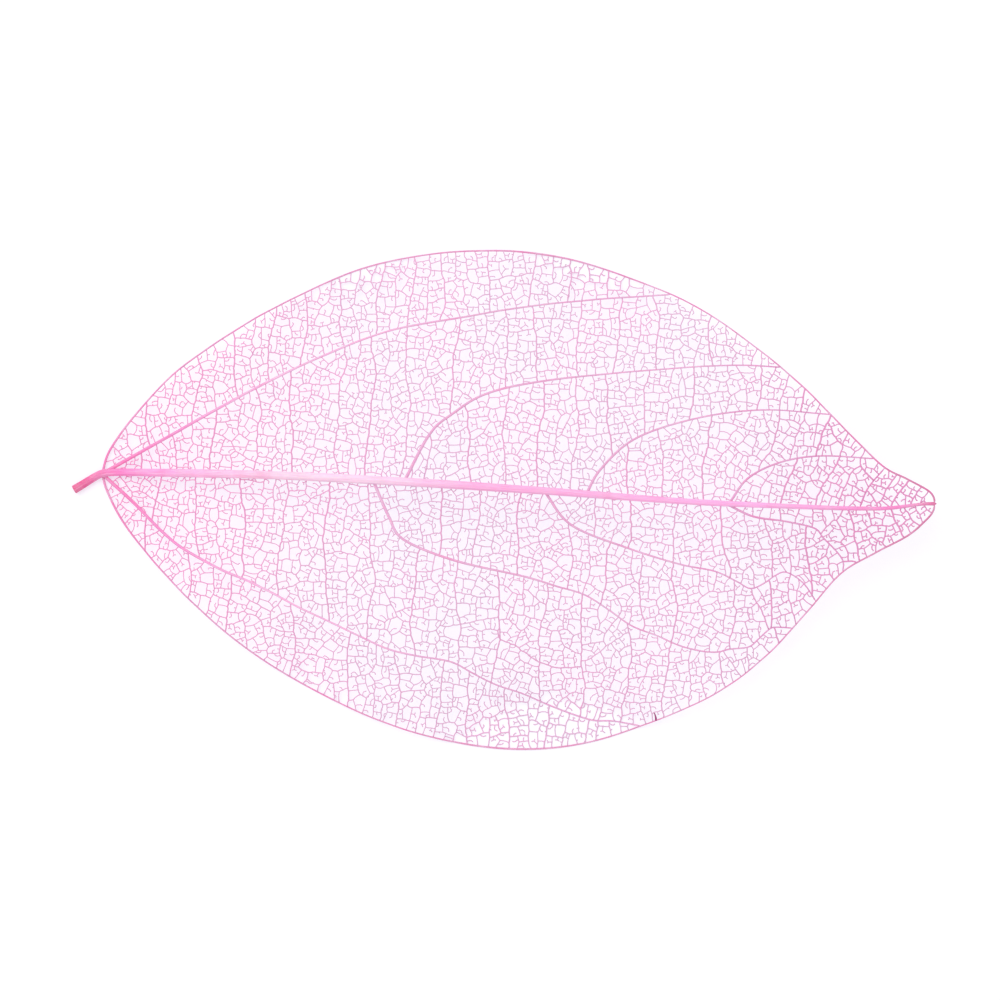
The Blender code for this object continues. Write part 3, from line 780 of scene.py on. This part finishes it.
def grow_net():
    """Parts the blade by its main veins, then by cross veins, and again down to the meshes.

    Gives the names of the stretches between side veins, each of which is a piece of its own.
    """
    foot, tip = add_end(FOOT), add_end(TIP)
    midrib = lay_chain(foot, main_lines[MIDRIB_NUMBER][1:-1], tip, (MIDRIB_VEIN, MIDRIB_NUMBER, -1))
    for half in (0, 1):
        edge = lay_chain(foot, edge_lines[half][1:-1], tip, (EDGE_VEIN, half, -1))
        add_mesh(half, [foot, *midrib, tip, *edge[::-1]])
    names = []
    for half, hand in enumerate((1, -1)):
        inner = half
        for rung, number in enumerate((*side_numbers[half], None)):
            stretch = len(names)
            names.append(f"net_{HALVES[half]}_{rung + 1}")
            outer = inner
            if number is not None:
                line = main_lines[number]
                ends = meshes[inner]
                start = min(ends, key=lambda end: math.dist(places[end], line[0]))
                stop = min(ends, key=lambda end: math.dist(places[end], line[-1]))
                outer = part_mesh(inner, start, stop, line[1:-1], (SIDE_VEIN, number, -1))
                if tip in meshes[outer]:
                    inner, outer = outer, inner
            drawn = np.cumsum(net_rng.uniform(*SPACING_SHARES, MOST_CROSSES)) * CROSS_SPACING
            parts = [outer]
            before = 0
            for count, x in enumerate(KNOWN_CROSSES.get((half, rung), drawn)):
                rank = WEAK_CROSS if count % 2 or x > WEAK_FROM else STRONG_CROSS
                lay_along(parts, cross_walk(x, hand), (rank, -1, stretch), NARROWEST)
                halfway = (before + x) / 2 + net_rng.uniform(-HALFWAY_DRIFT, HALFWAY_DRIFT)
                before = x
                if net_rng.random() < HALFWAY_SHARE:
                    lay_along(parts, cross_walk(halfway, hand), (LACE, -1, stretch), NARROWEST)
            for odd_half, odd_rung, odd in ODD_VEINS:
                if (odd_half, odd_rung) == (half, rung):
                    lay_along(parts, smooth_line(odd, CROSS_PACE), (WEAK_CROSS, -1, stretch))
            while parts:
                number = parts.pop()
                new = part_again(number, stretch)
                if new is not None:
                    parts += [number, new]
    return names


def round_each():
    """The ends to which veins run from each end."""
    around = {}
    for a, b in veins:
        around.setdefault(a, set()).add(b)
        around.setdefault(b, set()).add(a)
    return around


def drop_bends():
    """Forgets ends on the main veins at which no vein joins. Those veins are laid already."""
    around = round_each()
    dropped = set()
    for end in sorted(mere_bends & set(around)):
        a, b = sorted(around[end])
        vein = veins[pair_of(a, end)]
        if vein[1] < 0 or (a, b) in veins:
            continue
        del veins[pair_of(a, end)], veins[pair_of(end, b)]
        veins[a, b] = vein
        for one, other in ((a, b), (b, a)):
            around[one].remove(end)
            around[one].add(other)
        dropped.add(end)
    for number, ends in meshes.items():
        meshes[number] = [end for end in ends if end not in dropped]


def rest_on_lines():
    """Puts each end that main veins run through onto the one that holds it, and gives that one's number."""
    chosen = {}
    for (a, b), (rank, line, _) in veins.items():
        if line < 0:
            continue
        order = HOLDERS.index(rank)
        for end in (a, b):
            if end not in chosen or order < chosen[end][0]:
                chosen[end] = (order, line)
    for number, line in enumerate(main_lines):
        own = [end for end, (_, mine) in chosen.items() if mine == number]
        if own:
            places[own] = beside(line, places[own])[0]
    return {end: number for end, (_, number) in chosen.items()}


def draw_tight():
    """Lets veins pull on the places where they meet, the stouter ones harder, so that those run smoothly."""
    pairs = np.array(list(veins))
    pull = np.array([PULL[rank] for rank, _, _ in veins.values()])
    total = np.zeros(len(places))
    moved = np.zeros_like(places)
    for a, b in ((0, 1), (1, 0)):
        np.add.at(total, pairs[:, a], pull)
        np.add.at(moved, pairs[:, a], pull[:, None] * places[pairs[:, b]])
    loose = total > 0
    loose[list(rest_on_lines())] = False
    places[loose] = (places[loose] + moved[loose] / total[loose, None]) / 2


def square_up():
    """Where three veins meet, lets the stoutest or straightest two run on and the third join squarely."""
    held = rest_on_lines()
    ways = ((0, 1, 2), (0, 2, 1), (1, 2, 0))
    trios = []
    for end, others in round_each().items():
        if len(others) != 3 or end in held:
            continue
        others = sorted(others)
        runs = places[others] - places[end]
        runs /= np.linalg.norm(runs, axis=1)[:, None]
        ranks = [veins[pair_of(end, other)][0] for other in others]
        a, b, c = min(ways, key=lambda way: (ranks[way[0]] + ranks[way[1]], runs[way[0]] @ runs[way[1]]))
        trios.append((end, others[a], others[b], others[c]))
    end, a, b, c = np.array(trios).T
    run = places[b] - places[a]
    share = ((places[c] - places[a]) * run).sum(1) / (run * run).sum(1)
    goal = places[a] + run * np.clip(share, *SQUARE_STRETCH)[:, None]
    places[end] += SQUARING * (goal - places[end])


def close_up():
    """Closes up veins that are too short, the shortest first, until none is left."""
    renamed = {}
    for _ in range(CLOSING_ROUNDS):
        pairs = np.array(list(veins))
        length = np.linalg.norm(places[pairs[:, 0]] - places[pairs[:, 1]], axis=1)
        short = sorted((length[k], tuple(pairs[k].tolist())) for k in np.flatnonzero(length < SHORTEST))
        if not short:
            break
        around = round_each()
        best = {}
        for pair, (rank, line, _) in veins.items():
            order = rank if line < 0 else HOLDERS.index(rank)
            for end in pair:
                best[end] = min(best.get(end, FREE), order)
        touched = set()
        for _, (a, b) in short:
            if a in touched or b in touched or (a, b) not in veins:
                continue
            kept, gone = sorted((a, b), key=lambda end: (best[end], end))
            if best[kept] == best[gone]:
                places[kept] = (places[kept] + places[gone]) / 2
            touched.update((a, b), around[a], around[b])
            renamed[gone] = kept
            for other in sorted(around[gone]):
                was = veins.pop(pair_of(gone, other))
                pair = pair_of(kept, other)
                if other != kept and (pair not in veins or veins[pair][0] > was[0]):
                    veins[pair] = was
        rest_on_lines()
    for number, ends in meshes.items():
        new = []
        for end in ends:
            while end in renamed:
                end = renamed[end]
            if end not in new:
                new.append(end)
        meshes[number] = new


def add_free_ends():
    """Gives most meshes one or two veinlets that leave a vein round them, bend, may branch, and end free."""
    grown = list(places)

    def add(a, place, stretch):
        grown.append(place)
        veins[a, len(grown) - 1] = (FREE, -1, stretch)
        return len(grown) - 1

    for number in sorted(meshes):
        ends = meshes[number]
        middle = np.mean([grown[end] for end in ends], axis=0)
        wide = np.mean([math.dist(grown[end], middle) for end in ends])
        sides = [pair_of(a, b) for a, b in zip(ends, ends[1:] + ends[:1])]
        sides = [(a, b) for a, b in sides if veins.get((a, b), (0,))[0] in (WEAK_CROSS, LACE, FINE)]
        sides = [(a, b) for a, b in sides if math.dist(grown[a], grown[b]) > SIDE_TIMES * SHORTEST]
        taken = None
        second = (SECOND_SHARE * (wide > WIDE_FOR_TWO), SECOND_REACH)
        for wanted, reaches in ((FREE_SHARE, FIRST_REACH), second):
            if len(ends) < FEWEST_ENDS or not sides or net_rng.random() > wanted:
                break
            a, b = sides.pop(net_rng.integers(len(sides)))
            start = grown[a] + (grown[b] - grown[a]) * net_rng.uniform(*START_SHARES)
            reach = middle - start
            if math.hypot(*reach) < LEAST_REACH:
                break
            if taken is not None and math.dist(start, taken) < LEAST_APART:
                break
            taken = start
            aside = np.array((-reach[1], reach[0])) * net_rng.choice((-1, 1)) * net_rng.uniform(*SWING)
            vein = veins.pop((a, b))
            root = len(grown)
            grown.append(start)
            veins[a, root] = veins[b, root] = vein
            far = start + reach * net_rng.uniform(*reaches)
            if wanted != FREE_SHARE or wide <= WIDE_FOR_BEND:
                add(root, far, vein[2])
                continue
            tips = [far + reach * net_rng.uniform(0.0, PAST_ELBOW) + aside]
            if net_rng.random() < BRANCH_SHARE:
                past = reach * net_rng.uniform(0.0, BRANCH_PAST)
                tips.append(far + past - aside * net_rng.uniform(*BRANCH_SWING))
                elbow = add(root, far, vein[2])
            else:
                elbow = add(root, far - (far - start) * ELBOW_SHARE, vein[2])
                elbow = add(elbow, far + (tips[0] - far) * ELBOW_SHARE, vein[2])
            for free in tips:
                add(elbow, free, vein[2])
    return np.array(grown)


def width_of(rank, place):
    """Half the width that a net vein of a rank has at a place."""
    thinning = THINNING * min(abs(place[1]) / DROOP_HALF_WIDTH, 1) * (rank == STRONG_CROSS)
    near_tip = min(max((place[0] - STOUTER_FROM) / STOUTER_OVER, 0), 1)
    return HALF_WIDTHS[rank] * (1 - thinning + STOUTER_AT_TIP * near_tip)


def spun_net(name, own_veins, lifts, bends, material):
    """Veins of one stretch of blade as one mesh: six-sided tubes that share their corners where they meet."""
    points, heights, stoutness, faces = [], [], [], []

    def point(place, height, size):
        points.append(place)
        heights.append(height)
        stoutness.append(size / HALF_WIDTHS[STRONG_CROSS])
        return len(points) - 1

    def corner_at(place, middle, size):
        return (point(place, middle + size / 2, size), point(place, middle - size / 2, size))

    corner, previous, crest, base, level = {}, {}, {}, {}, {}
    around = {}
    for a, b in own_veins:
        around.setdefault(a, []).append(b)
        around.setdefault(b, []).append(a)
    for end, others in around.items():
        here = places[end]
        others = sorted(others, key=lambda other: math.atan2(*(places[other] - here)[::-1]))
        widths = [width_of(veins[pair_of(end, other)][0], here) for other in others]
        runs = [places[other] - here for other in others]
        lengths = [math.hypot(*run) for run in runs]
        runs = [run / length for run, length in zip(runs, lengths)]
        thick = max(widths) * ROUNDNESS
        middle = level[end] = lifts.get(end, thick)
        crest[end] = point(here, middle + thick, max(widths))
        base[end] = point(here, middle - thick, max(widths))
        for k, first in enumerate(others):
            second = (k + 1) % len(others)
            previous[end, others[second]] = first
            left = np.array((-runs[k][1], runs[k][0]))
            if len(others) == 1:
                corner[end, first] = corner_at(here + left * widths[0], middle, widths[0])
                corner[end, end] = corner_at(here - left * widths[0], middle, widths[0])
                previous[end, first] = end
                one, other = corner[end, first], corner[end, end]
                faces.append((crest[end], one[0], one[1], base[end], other[1], other[0]))
                continue
            right = np.array((runs[second][1], -runs[second][0]))
            sine = runs[k][0] * runs[second][1] - runs[k][1] * runs[second][0]
            if abs(sine) < STRAIGHT_ON:
                way = (left + right) / max(math.hypot(*(left + right)), TINY)
                offset = way * (widths[k] + widths[second]) / 2 / max(way @ left, LEAST_SHARE)
            else:
                offset = (widths[second] * runs[k] + widths[k] * runs[second]) / sine
            longest = CORNER_REACH * min(lengths[k], lengths[second])
            place = here + offset * min(1, longest / math.hypot(*offset))
            corner[end, first] = corner_at(place, middle, (widths[k] + widths[second]) / 2)
    for a, b in own_veins:
        run = places[b] - places[a]
        aside = np.array((-run[1], run[0]))
        half = width_of(veins[a, b][0], places[a]) * WAIST
        length = math.hypot(*run)
        section = [(crest[a], *corner[a, b], base[a], *corner[a, previous[a, b]][::-1])]
        for share in ONE_BEND if length < TWICE_BENT else TWO_BENDS:
            here = places[a] + run * share + aside * bends[a, b] * 4 * share * (1 - share)
            lift = max(0, level[a] - RESTING) * (1 - share) + max(0, level[b] - RESTING) * share
            middle = half * ROUNDNESS + KEPT_LIFT * lift
            rim = aside * half / length
            section.append((
                point(here, middle + half * ROUNDNESS, half), *corner_at(here + rim, middle, half),
                point(here, middle - half * ROUNDNESS, half), *corner_at(here - rim, middle, half)[::-1],
            ))
        section.append((crest[b], *corner[b, previous[b, a]], base[b], *corner[b, a][::-1]))
        for one, other in zip(section, section[1:]):
            faces += [(one[k], one[k - 1], other[k - 1], other[k]) for k in range(6)]
    mesh = bpy.data.meshes.new(name)
    mesh.from_pydata(standing(points, np.maximum(heights, 0.0)), [], faces)
    mesh.attributes.new("stoutness", "FLOAT", "POINT").data.foreach_set("value", stoutness)
    mesh.update()
    finished(name, mesh, material)


def dyed_lace(name):
    """The fine veins, which took less dye and look cooler, with patches of deeper pink."""
    material = bpy.data.materials.new(name)
    material.use_nodes = True
    tree = material.node_tree
    start = Dye(tree)
    place = start.node("ShaderNodeTexCoord", None, None, "Object")
    along = place.node("ShaderNodeSeparateXYZ", None, {0: place})
    stretches = (FOOT_STRETCH, TIP_STRETCH)
    from_foot, to_tip = [along.between(FOOT_X + a * MM, FOOT_X + b * MM) for a, b in stretches]
    colour = to_tip.mixed(from_foot.mixed(shade(*FOOT_LACE), shade(*LACE_DYE)), shade(*TIP_LACE))
    drift = place.grain(140.0, 3.0).between(0.38, 0.66)
    colour = (drift * DEEPER_SHARE).mixed(colour, shade(*DEEPER_LACE))
    # Output 2 is the attribute as a number
    stout = start.node("ShaderNodeAttribute", {"attribute_name": "stoutness"}, None, 2)
    colour = (stout.between(0.62, 1.0) * STOUT_SHARE).mixed(colour, shade(*STOUT_LACE))
    speckle = place.grain(1500.0, 2.0)
    colour = (speckle.between(0.56, 0.78) * SPECKLE_SHARE).mixed(colour, shade(*SPECKLE))
    bump = {"Strength": 0.4, "Distance": 0.00002, "Height": place.grain(9000.0, 3.0)}
    fill(tree, tree.nodes["Principled BSDF"], {
        "Base Color": colour,
        "Roughness": LACE_ROUGHNESS + speckle * ROUGHNESS_SWING,
        "Normal": start.node("ShaderNodeBump", None, bump),
        "Specular IOR Level": 0.3,
    })
    return material


stretch_names = grow_net()
places = np.array(places)
drop_bends()
rest_on_lines()
close_up()
for _ in range(DRAWING_ROUNDS):
    draw_tight()
    square_up()
close_up()
lifts = {}
for end, number in rest_on_lines().items():
    nearest = beside(main_lines[number], places[end])[1][0]
    lifts[end] = main_girths[number][nearest] * LIFT_SHARE
places = add_free_ends()
bends = {pair: BEND * net_rng.normal() for pair in veins}
lace_dye = dyed_lace("dyed_net")
for number, name in enumerate(stretch_names):
    own_veins = [pair for pair, (_, _, stretch) in veins.items() if stretch == number]
    spun_net(name, own_veins, lifts, bends, lace_dye)

# The table, the light and the camera. The table is plain and nearly white, the light is soft and comes
# from all round with a little more from one side, and the camera looks straight down at the leaf.
TABLE_SIZE = 3.0
TABLE_DROP = 0.00002
TABLE_GREY = (0.52, 0.52, 0.52, 1.0)
TABLE_GLOW = (0.9, 0.9, 1.0, 1.0)
SKY_WHITE = (1.0, 1.0, 1.0, 1.0)
SKY_STRENGTH = 0.85
SOFTBOX_SIZE = 0.5
SOFTBOX_WATTS = 1.5
SOFTBOX_PLACE = (-0.25, 0.3, 0.5)
FRAME_WIDTH = 0.1055
LENS = 100.0
NEAREST = 0.01
LEAF_TILT = math.radians(2.08)

bpy.ops.mesh.primitive_plane_add(size=TABLE_SIZE, location=(0, 0, -TABLE_DROP))
table = bpy.context.object
table.name = "table"
paper = bpy.data.materials.new("table_white")
paper.use_nodes = True
fill(paper.node_tree, paper.node_tree.nodes["Principled BSDF"], {
    "Base Color": TABLE_GREY,
    "Emission Color": TABLE_GLOW,
    "Emission Strength": 0.55,
    "Roughness": 0.9,
    "Specular IOR Level": 0.1,
})
table.data.materials.append(paper)

scene = bpy.context.scene
scene.world = bpy.data.worlds.new("soft_light")
scene.world.use_nodes = True
sky = scene.world.node_tree
fill(sky, sky.nodes["Background"], {"Color": SKY_WHITE, "Strength": SKY_STRENGTH})
softbox = bpy.data.lights.new("softbox", "AREA")
softbox.size = SOFTBOX_SIZE
softbox.energy = SOFTBOX_WATTS
lamp = bpy.data.objects.new("softbox", softbox)
lamp.location = SOFTBOX_PLACE
lamp.rotation_euler = (-Vector(SOFTBOX_PLACE)).to_track_quat("-Z", "Y").to_euler()
scene.collection.objects.link(lamp)

camera = bpy.data.cameras.new("camera")
camera.lens = LENS
camera.clip_start = NEAREST
middle = (solid_box[0] + solid_box[1]) / 2
distance = FRAME_WIDTH / 2 / (camera.sensor_width / 2 / LENS)
viewer = bpy.data.objects.new("camera", camera)
viewer.location = (middle.x, middle.y, middle.z + distance)
viewer.rotation_euler = (0, 0, LEAF_TILT)
scene.collection.objects.link(viewer)
scene.camera = viewer
scene.view_settings.view_transform = "Standard"
